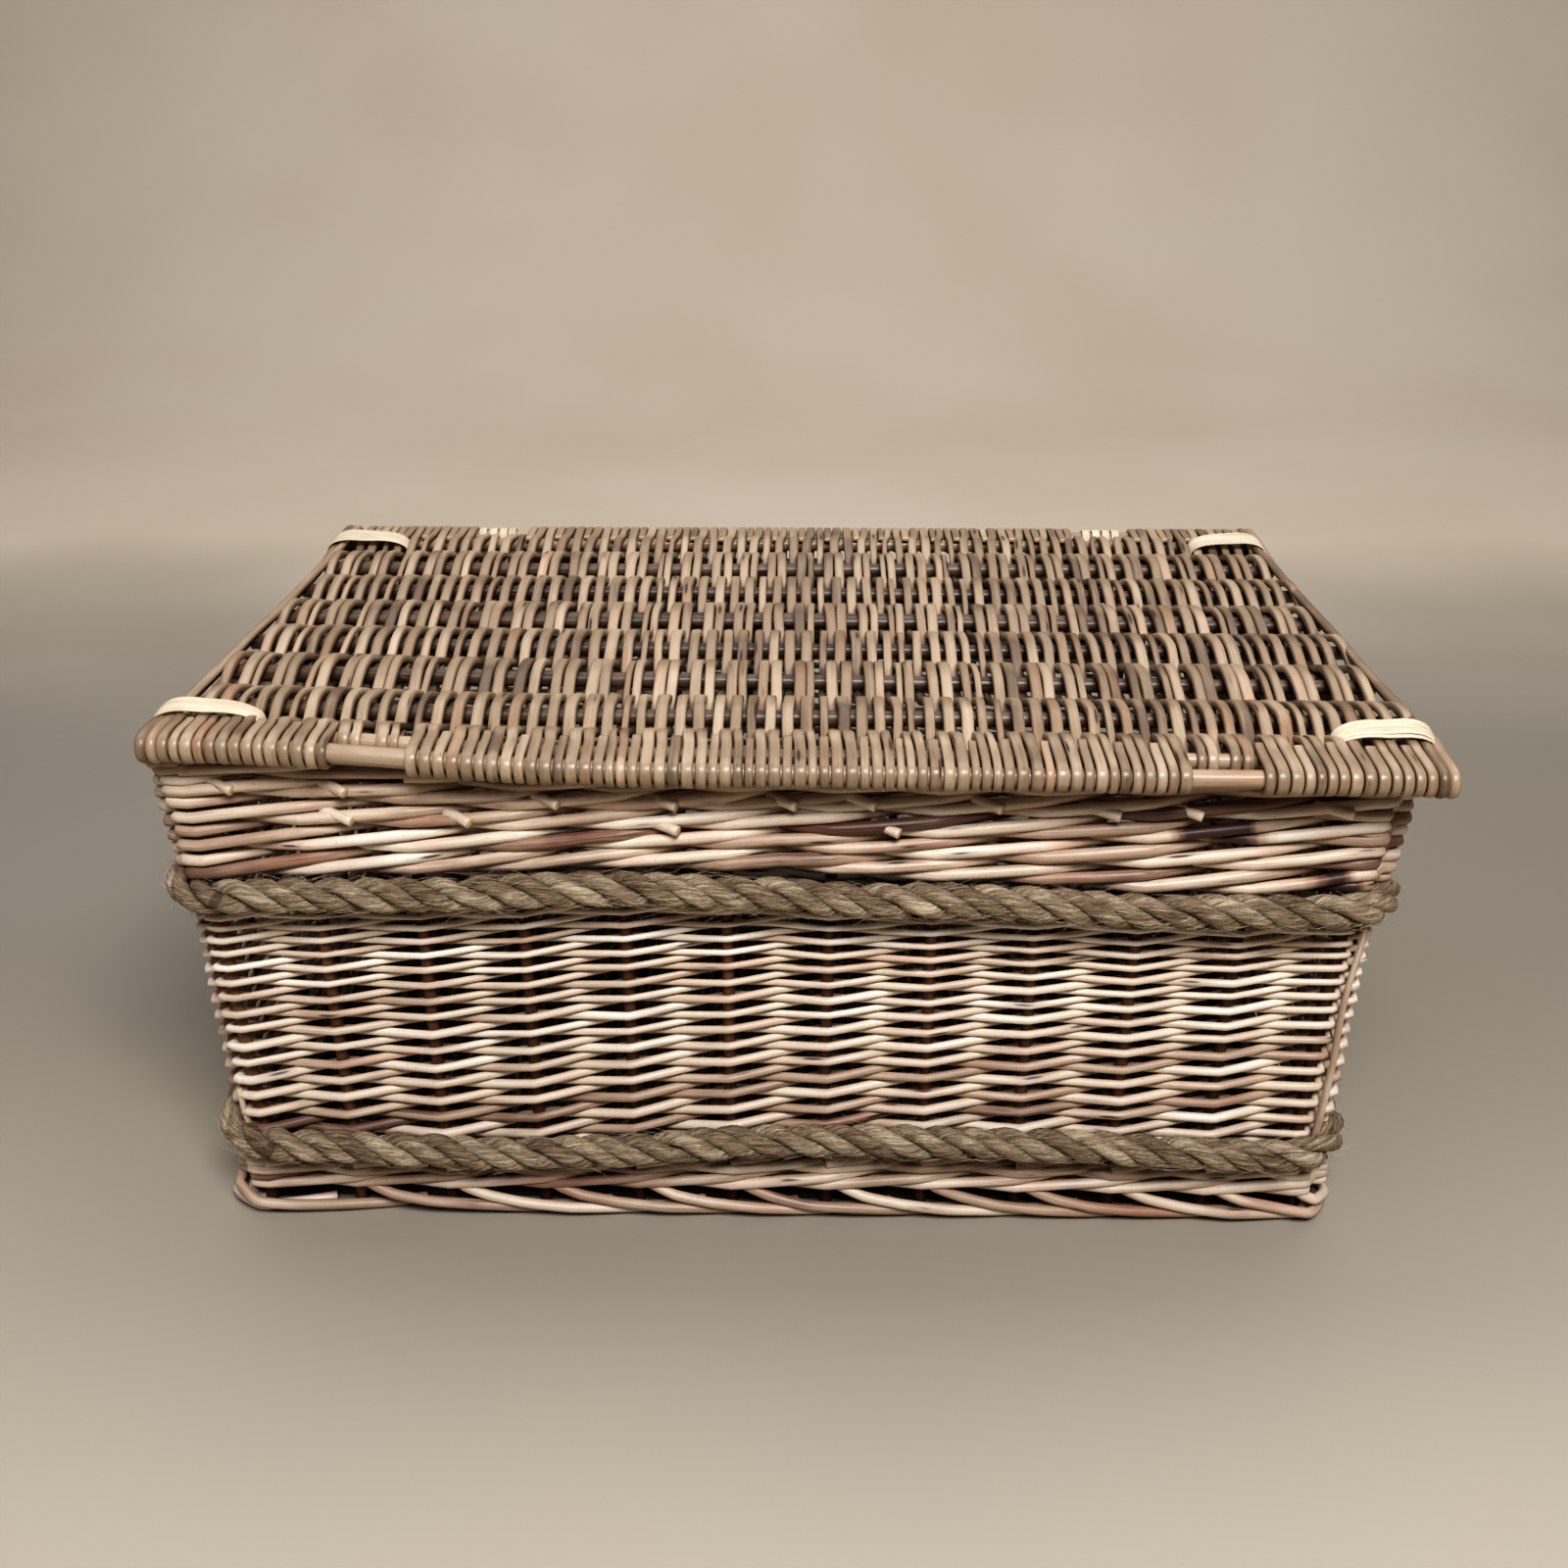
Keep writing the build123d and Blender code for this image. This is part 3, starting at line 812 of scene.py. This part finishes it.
def make_rope(name, node, shift):
    """Three strands laid together, each of many yarns, with loose fibres standing off them."""
    low, high = corners_of(node)
    radius = (high[2] - low[2]) / 2
    route, outward = rounded_route(low, high, radius, ROPE_BEND_R, 0.0040)
    length = np.linalg.norm(np.roll(route, -1, 0) - route, axis=1)
    s = np.concatenate([[0], np.cumsum(length)[:-1]])
    total = length.sum()
    phase = 2 * math.pi * s / total
    z = (low[2] + high[2]) / 2 + 0.0016 * np.sin(5 * phase + shift)
    z = z + 0.0011 * np.sin(11 * phase + 2 * shift)
    hug = 1 - ROPE_HUG / HALF_X
    centre = settle_basket(np.column_stack([MIDDLE_X + (route[:, 0] - MIDDLE_X) * hug, route[:, 1], z]))
    out = np.column_stack([outward, 0 * z])
    up = np.array([0, 0, 1.0])
    turns = round(total / ROPE_LAY)
    radius *= 0.985
    strand_r = radius / 2.155
    offset = radius - strand_r
    rods = Rods()
    for strand in range(3):
        uneven = 0.22 * np.sin(7 * phase + strand * 2 + shift)
        angle = -(turns * phase + uneven + strand * 2 * math.pi / 3)
        points = centre + offset * (np.cos(angle)[:, None] * out + np.sin(angle)[:, None] * up)
        swell = 1.03 + 0.03 * np.sin(23 * phase + strand)
        rods.add(points, strand_r * swell, out, tone=0.6 + 0.04 * strand, sides=28, closed=True,
                 ripple=(9, 0.11, 99.0))
    for _ in range(ROPE_HAIRS):
        i = rng.integers(len(s))
        around = rng.uniform(-1.9, 1.9)
        side = math.cos(around) * out[i] + math.sin(around) * up
        ahead = np.array([-out[i][1], out[i][0], 0]) * rng.choice([-1, 1])
        start = centre[i] + side * radius * 0.93
        reach = rng.uniform(0.006, 0.020)
        bend = rng.normal(0, 0.35, 3)
        lift = abs(rng.normal(0.12, 0.12))
        t = np.linspace(0, 1, 5)[:, None]
        hair = start + reach * t * ahead + reach * t**2 * (side * lift + bend * 0.5)
        hair = hair + 0.0012 * t * (1 - t) * side * 4
        rods.add(hair, np.linspace(0.00014, 0.00007, 5), side, tone=rng.uniform(0.80, 1.25), sides=3,
                 capped=False)
    rods.make(name, "basket", "jute_rope", JUTE, node)


# ---- basket: base and hinges ----
def make_base():
    """The base panel: rails and sticks along it, and rods woven across them. All of it has a low tone that
    is painted shade, keeping the basket's inside dark.
    """
    front_low, front_high = corners_of("base_front_rail")
    back_low, back_high = corners_of("base_back_rail")
    stick_low, stick_high = corners_of("base_sticks")
    z = (front_low[2] + front_high[2]) / 2
    rail_r = (front_high[2] - front_low[2]) / 2
    stick_r = (stick_high[2] - stick_low[2]) / 2
    rows = [(front_low[1] + rail_r, rail_r)]
    rows += [(y, stick_r) for y in np.linspace(stick_low[1] + stick_r, stick_high[1] - stick_r, 5)]
    rows += [(back_low[1] + rail_r, rail_r)]
    sticks = Rods()
    for y, r in rows:
        x = np.linspace(front_low[0], front_high[0], 12)
        points = np.column_stack([x, 0 * x + y, 0 * x + z])
        # painted shade: the base sticks and rails get a low tone so the inside stays dark
        sticks.add(points, r * 0.97, (0, 0, 1), tone=rng.normal(0.30, 0.08), sides=12)
    sticks.make("base_sticks_and_rails", "basket", "willow_side", BUFF,
                "base_front_rail", "base_back_rail", "base_sticks")
    weave = Rods()
    r = BASE_ROD_R
    panel_low, panel_high = corners_of("base_weave")
    for i, x in enumerate(np.linspace(panel_low[0] + r, panel_high[0] - r, BASE_RODS)):
        side = 1 if i % 2 else -1
        anchors = [[x, panel_low[1] + 0.001, z + side * rail_r * 0.4]]
        for row, (y, stick) in enumerate(rows):
            level = side * (1 if row % 2 else -1)
            anchors.append([x + rng.normal(0, 0.0005), y, z + level * (stick + r * 0.9)])
        anchors.append([x, panel_high[1] - 0.001, z])
        points, _ = flowing(anchors, stiffness=0.8, steps=6)
        # painted shade: the base rods get a low tone so the inside stays dark
        weave.add(points, r * rng.normal(1.25, 0.08), (1, 0, 0), thick=r, tone=rng.normal(0.25, 0.09),
                  warm=rng.uniform(0, 1), sides=7)
    weave.make("base_cross_weave", "basket", "willow_side", BUFF, "base_weave")


def make_hinge_loop(side):
    """Turns of split cane round the lid's bare back rail and the rim's outer rods."""
    low, high = corners_of(f"hinge_loop_{side}")
    middle_x = (low[0] + high[0]) / 2
    width = (high[0] - low[0] - (HINGE_TURNS - 1) * HINGE_PITCH) / 2
    reach_r = high[2] - LID_Z
    thick = 0.0007
    centre_r = reach_r - thick
    down = np.array([-math.sin(HINGE_LEAN), -math.cos(HINGE_LEAN)])
    out = np.array([math.cos(HINGE_LEAN), -math.sin(HINGE_LEAN)])
    rods = Rods()
    for turn in range(HINGE_TURNS):
        x = middle_x + (turn - (HINGE_TURNS - 1) / 2) * HINGE_PITCH + rng.normal(0, 0.0004)
        yz = []
        for start, centre in ((-90, 0 * down), (90, HINGE_REACH * down)):
            for a in np.radians(np.linspace(start, start + 180, 13)):
                yz.append(centre + centre_r * (math.sin(a) * out - math.cos(a) * down))
        yz = np.array(yz) + [LID_BACK, LID_Z]
        points = np.column_stack([np.full(len(yz), x), yz])
        rods.add(points, width, (1, 0, 0), thick=thick, tone=rng.normal(0.55, 0.06), sides=12, square=4.0,
                 closed=True)
    rods.make(f"hinge_cane_{side}", "basket", "cane", CANE, f"hinge_loop_{side}")


# ---- lid ----
def lid_row(row):
    """Where a row of the lid's sticks lies; row 0 and the last are the inner rails."""
    return INNER_FRONT + ROW_PITCH * row


def is_bare(x):
    """True where the outer rails are left bare."""
    return abs(abs(x) - GAP_X) < GAP_HALF + 0.002


def round_rails(x_in, x, x_out, outer, inner, thick, bare):
    """Anchors of a rod wound over the rails, round the outer one and back below."""
    way = 1 if outer > inner else -1
    reach_in = INNER_R + thick
    reach = RAIL_R + thick
    diagonal_in, diagonal = reach_in * 0.7071, reach * 0.7071
    start = [[x_in, inner - way * 0.0110, LID_Z + reach_in * 0.98]]
    end = [[x_out, inner - way * 0.001, LID_Z - reach_in], [x_out, inner - way * 0.0160, LID_Z - 0.0062]]
    if bare:
        return start + [
            [x, inner - way * 0.001, LID_Z + reach_in],
            [x, inner + way * diagonal_in, LID_Z + diagonal_in],
            [x, inner + way * reach_in, LID_Z],
            [x, inner + way * diagonal_in, LID_Z - diagonal_in],
        ] + end
    return start + [
        [x * 0.7 + x_in * 0.3, inner - way * 0.001, LID_Z + reach_in + 0.0006],
        [x, outer - way * 0.0015, LID_Z + reach],
        [x, outer + way * diagonal, LID_Z + diagonal],
        [x, outer + way * reach, LID_Z],
        [x, outer + way * diagonal, LID_Z - diagonal],
        [x, outer - way * 0.001, LID_Z - reach],
        [x * 0.6 + x_out * 0.4, (inner + outer) / 2, LID_Z - reach],
    ] + end


def crossing(x, rows, thick):
    """Anchors of one pass over and under the sticks: flat across each, and steep between them."""
    anchors = []
    way = 1 if rows[0] > rows[-1] else -1
    for i, row in enumerate(rows):
        stick = 0.0040 if row == DOUBLED_ROW else 0.0050
        level = (stick + thick + 0.0002) * (-1 if i % 2 else 1)
        aside = rng.normal(0, 0.0004)
        lean = rng.normal(0, 0.0006)
        for reach in (0.0100, -0.0085):
            beside = x + aside + lean * reach / 0.0185
            anchors.append([beside, lid_row(row) + way * reach, LID_Z + level])
    return anchors


def pack_turns():
    """Half widths of the lid's rods and of its short turns, and where they lie side by side in a border."""
    sizes = rng.choice((0.0037, 0.0034, 0.0029, 0.0021), LID_PERIODS, p=(0.36, 0.30, 0.18, 0.16))
    sizes = sizes * rng.normal(1, 0.05, LID_PERIODS)
    short_sizes = rng.uniform(0.0025, 0.0036, LID_PERIODS)
    long_x, short_x = np.zeros(LID_PERIODS), np.zeros(LID_PERIODS)
    cursor = 0.0
    for i in range(LID_PERIODS):
        half = np.clip(sizes[i], 0.0027, 0.0037)
        long_x[i] = cursor + half
        cursor += 2 * half + TURN_GAP
        if i % 2 == 0:
            short_x[i] = cursor + short_sizes[i]
            cursor += 2 * short_sizes[i] + TURN_GAP
    spread = 2 * LID_WEAVE_END / cursor
    return sizes, short_sizes, long_x * spread - LID_WEAVE_END, short_x * spread - LID_WEAVE_END


def make_lid_weave():
    """The lid's rods: each comes from the back, is wound round the front rails, goes back one row the other
    way, and is wound round the back rails. Short turns fill the borders between them."""
    left, right, front, back = Rods(), Rods(), Rods(), Rods()
    sizes, short_sizes, long_x, short_x = pack_turns()
    period = 2 * LID_WEAVE_END / LID_PERIODS
    rows_in = list(range(LID_ROWS, 0, -1))
    rows_out = list(range(1, LID_ROWS + 1))
    for i in range(LID_PERIODS):
        lightness = rng.normal(0.57, 0.05) - (0.15 if rng.random() < 0.14 else 0)
        wide = sizes[i]
        thick = min(wide, 0.0027)
        turn_x = long_x[i]
        next_x = long_x[i + 1] if i + 1 < LID_PERIODS else turn_x + period
        x1 = turn_x - 0.0012
        x2 = min((turn_x + next_x) / 2, LID_WEAVE_END + 0.002)
        x3 = min(next_x - 0.0012, LID_WEAVE_END + 0.003)
        back_x = min(turn_x + period * 0.62, LID_WEAVE_END + 0.003)
        anchors = [[x1, INNER_BACK - 0.016, LID_Z - 0.0062]]
        anchors += crossing(x1, rows_in, thick)
        wrap_from = len(anchors)
        anchors += round_rails(x1, turn_x, x2, LID_FRONT, INNER_FRONT, TURN_THICK, is_bare(turn_x))
        wrap_to = len(anchors)
        anchors += crossing(x2, rows_out, thick)
        back_from = len(anchors)
        anchors += round_rails(x2, back_x, x3, LID_BACK, INNER_BACK, TURN_THICK, is_bare(back_x))
        points, spots = flowing(anchors, stiffness=0.9, steps=5, short=0.012)
        w = np.full(len(anchors), wide)
        t = np.full(len(anchors), thick)
        band = np.clip(wide, 0.0027, 0.0037)
        for turn in (slice(wrap_from + 1, wrap_to - 1), slice(back_from + 1, -1)):
            w[turn] = band * TURN_SHARE
            t[turn] = TURN_THICK
        tones = lightness + np.repeat(rng.normal(0, 0.08, len(anchors)), 2)[:len(anchors)]
        order = np.arange(len(anchors))
        w, t, tones = (np.interp(spots, order, values) for values in (w, t, tones))
        rods = left if turn_x < 0 else right
        rods.add(settle_lid(points), w, (1, 0, 0), thick=t, tone=tones, warm=rng.uniform(0, 1), sides=12,
                 square=3.6)
        if i % 2 == 0:
            for strand, outer, inner, x in ((front, LID_FRONT, INNER_FRONT, short_x[i]),
                                            (back, LID_BACK, INNER_BACK, short_x[i] + period * 0.62)):
                if is_bare(x) or x > LID_WEAVE_END:
                    continue
                way = 1 if outer > inner else -1
                run = round_rails(x, x, x, outer, inner, 0.0017, False)
                run = [[x, inner - way * rng.uniform(0.004, 0.009), LID_Z + 0.0073]] + run[1:-1]
                run.append([x, inner - way * 0.010, LID_Z - 0.0060])
                points, _ = flowing(run, stiffness=0.9, steps=4)
                strand.add(settle_lid(points), short_sizes[i] * TURN_SHARE, (1, 0, 0), thick=0.0017,
                           tone=rng.normal(0.54, 0.07), warm=rng.uniform(0, 1), sides=12, square=3.6)
    # two rods lie over every stick beyond the last loops, at both ends
    for side, rods in ((-1, left), (1, right)):
        for x, wide in ((0.3705, 0.0032), (0.3765, 0.0034)):
            at = side * x
            over = LID_Z + 0.0078 - 1.2 * (x - 0.3705)
            anchors = round_rails(at, at, at, LID_FRONT, INNER_FRONT, TURN_THICK, False)[::-1]
            anchors += [[side * (x + rng.normal(0, 0.0006)), lid_row(row), over] for row in rows_out]
            anchors += round_rails(at, at, at, LID_BACK, INNER_BACK, TURN_THICK, False)
            points, _ = flowing(anchors, stiffness=0.9, steps=6)
            rods.add(settle_lid(points), wide, (1, 0, 0), thick=0.0024, tone=rng.normal(0.5, 0.06),
                     warm=0.5, sides=10)
    left.make("lid_cross_weave_left", "lid", "willow_lid", BUFF, "lid_weave")
    right.make("lid_cross_weave_right", "lid", "willow_lid", BUFF, "lid_weave")
    front.make("lid_front_turns", "lid", "willow_lid", BUFF, "lid_front_wrap")
    back.make("lid_back_turns", "lid", "willow_lid", BUFF, "lid_back_wrap")


def make_lid_sticks():
    """The lid's rails and long sticks, with pale cut ends. The sticks' dark tone is partly their own colour
    and partly painted shade.
    """
    spans = [
        ("lid_front_rail", RAIL_R, RAIL_END, [LID_FRONT]),
        ("lid_back_rail", RAIL_R, RAIL_END, [LID_BACK]),
        ("lid_front_inner_rail", INNER_R, RAIL_END, [INNER_FRONT]),
        ("lid_back_inner_rail", INNER_R, RAIL_END, [INNER_BACK]),
    ]
    for row in range(1, LID_ROWS + 1):
        y = lid_row(row)
        if row == DOUBLED_ROW:
            spans.append((f"lid_stick_{row}_pair", PAIR_R, STICK_END, [y - PAIR_OFF, y + PAIR_OFF]))
        else:
            spans.append((f"lid_stick_{row}", INNER_R, STICK_END, [y]))
    for node, radius, reach, lines in spans:
        rods = Rods()
        for y in lines:
            x = np.linspace(-reach, reach, 40)
            hinge = node == "lid_back_rail"
            wobble = 0 if hinge else 0.0005
            aside = y + wobble * np.sin(x * 11 + y * 90)
            points = np.column_stack([x, aside, LID_Z + wobble * np.sin(x * 8 + y * 40)])
            taper = 1.0 if hinge else np.linspace(1.02, 0.93, 40)
            # the sticks' low tone is partly their own darker colour and partly painted shade for where they
            # lie deep between the rods; the rails keep a lighter tone
            lightness = rng.normal(0.62 if "rail" in node else 0.16, 0.04)
            rods.add(settle_lid(points), radius * 0.995 * taper, (0, 0, 1), tone=lightness, warm=0.5,
                     sides=14)
        rods.make(node.replace("lid_", "willow_"), "lid", "willow_lid", BUFF, node)


def make_binding(node):
    """A band of thin cane strips side by side, round the lid's edge rods and down through the weave."""
    low, high = corners_of(node)
    low[0] -= LID_X
    high[0] -= LID_X
    side = 1 if low[0] > 0 else -1
    edge_x, inner_x = (high[0], low[0]) if side > 0 else (low[0], high[0])
    middle_y = (low[1] + high[1]) / 2
    middle_y += 0.006 * np.sign(middle_y)
    edge_x -= 0.004 * (side > 0)
    half = (high[2] - low[2]) / 2
    pitch = (high[1] - low[1]) / BINDING_STRIPS
    rods = Rods()
    for i in range(BINDING_STRIPS):
        spread = (i - (BINDING_STRIPS - 1) / 2) * pitch
        skew = rng.normal(0, 0.0004)
        run = [
            [edge_x - side * 0.010, 1.0, -half + 0.0010], [inner_x + side * 0.022, 0.8, -half + 0.0010],
            [inner_x + side * 0.003, 0.55, -0.004], [inner_x + side * 0.003, 0.60, half - 0.008],
            [inner_x + side * 0.009, 0.78, half - 0.0036], [inner_x + side * 0.020, 0.92, half - 0.0012],
            [(inner_x + edge_x) / 2, 1.0, half - 0.0006], [edge_x - side * 0.013, 1.0, half - 0.0006],
            [edge_x - side * 0.004, 1.0, half - 0.005], [edge_x - side * 0.0008, 1.0, 0.0],
            [edge_x - side * 0.004, 1.0, -half + 0.005],
        ]
        anchors = []
        for x, share, z in run:
            height = LID_Z + z + 0.1 * spread * (z > 0) + rng.normal(0, 0.0002)
            anchors.append([x, middle_y + spread * share + skew, height])
        points, _ = flowing(anchors, stiffness=0.95, steps=5)
        rods.add(settle_lid(points), pitch * 0.53, (0, 1, 0.1), thick=0.0007, tone=rng.normal(0.58, 0.05),
                 sides=10, square=3.0)
    rods.make(node.replace("corner_binding", "cane_binding"), "lid", "cane", CANE, node)


# ---- stage ----
def make_stage():
    """A pale floor that curves up into a backdrop, in soft light from in front and above. Its colour holds
    painted shade: a dark band across the floor just behind the basket, lightening towards the front and up
    the backdrop.
    """
    n = Nodes("backdrop")
    where = n.node("ShaderNodeTexCoord").outputs["Object"]
    parts = n.node("ShaderNodeSeparateXYZ")
    n.put(where, parts.inputs[0])
    cloud = n.noise(where, (1.1, 1.1, 1.1), 2)
    # painted shade: near and far set how far the floor is darkened by depth, darkest just behind the basket
    depth = n.vary(parts.outputs[1], cloud, 0.5)
    near = n.between(depth, -0.60, 0.15, 0.80, 0.42)
    far = n.between(depth, 0.55, 2.0, 0.0, 1.0)
    pale = n.mix(n.between(cloud, 0.3, 0.7), (0.60, 0.53, 0.41), (0.64, 0.57, 0.46))
    # the painted shade mixes the pale floor towards this dark colour
    colour = n.mix(n.add(near, far), (0.10, 0.095, 0.085), pale)
    n.put(colour, n.shader.inputs["Base Color"])
    n.shader.inputs["Roughness"].default_value = 0.85
    near_y, far_y, top, bend = -4.0, 3.6, 3.2, 1.4
    profile = [(near_y, 0.0), (-0.4, 0.0), (0.6, 0.0), (far_y - bend, 0.0)]
    for a in np.linspace(0.1, math.pi / 2, 14):
        profile.append((far_y - bend + bend * math.sin(a), bend - bend * math.cos(a)))
    profile += [(far_y, top)]
    verts = [(x, y, z) for x in (-5.0, 5.0) for y, z in profile]
    count = len(profile)
    mesh = bpy.data.meshes.new("backdrop")
    mesh.from_pydata(verts, [], [(i, i + 1, count + i + 1, count + i) for i in range(count - 1)])
    mesh.shade_smooth()
    mesh.materials.append(n.material)
    new_object("backdrop", mesh)
    for name, spot, aim, size, power, tint in (
        ("key", (0.35, -1.75, 2.25), (0, -0.1, 0.2), 0.9, 50, (0.965, 0.99, 1.055)),
        ("fill", (-1.9, -1.3, 1.3), (0, 0, 0.2), 1.2, 3, (0.96, 0.98, 1.0)),
        ("back", (0.0, 1.5, 2.9), (0, 2.4, 0.2), 4.0, 62, (0.98, 0.98, 1.06)),
    ):
        light = new_object(name, bpy.data.lights.new(name, "AREA"))
        light.data.shape = "RECTANGLE"
        light.data.size = size * 1.5
        light.data.size_y = size * 0.8
        light.data.energy = power
        light.data.color = tint
        light.location = spot
        light.rotation_euler = (Vector(aim) - Vector(spot)).to_track_quat("-Z", "Y").to_euler()
    world = bpy.data.worlds.new("world")
    world.use_nodes = True
    world.node_tree.nodes["Background"].inputs[0].default_value = (0.77, 0.79, 0.84, 1)
    world.node_tree.nodes["Background"].inputs[1].default_value = 0.02
    scene.world = world
    scene.view_settings.view_transform = "Standard"
    scene.view_settings.look = "Very High Contrast"


make_side_weave()
make_upper_wale()
make_lower_wale()
make_foot_border()
make_rim_border()
make_uprights()
make_rope("rope_upper", "upper_rope", 0.4)
make_rope("rope_lower", "lower_rope", 2.1)
make_base()
make_hinge_loop("left")
make_hinge_loop("right")
make_lid_weave()
make_lid_sticks()
for corner in ("front_left", "front_right", "back_left", "back_right"):
    make_binding(f"{corner}_corner_binding")
make_stage()
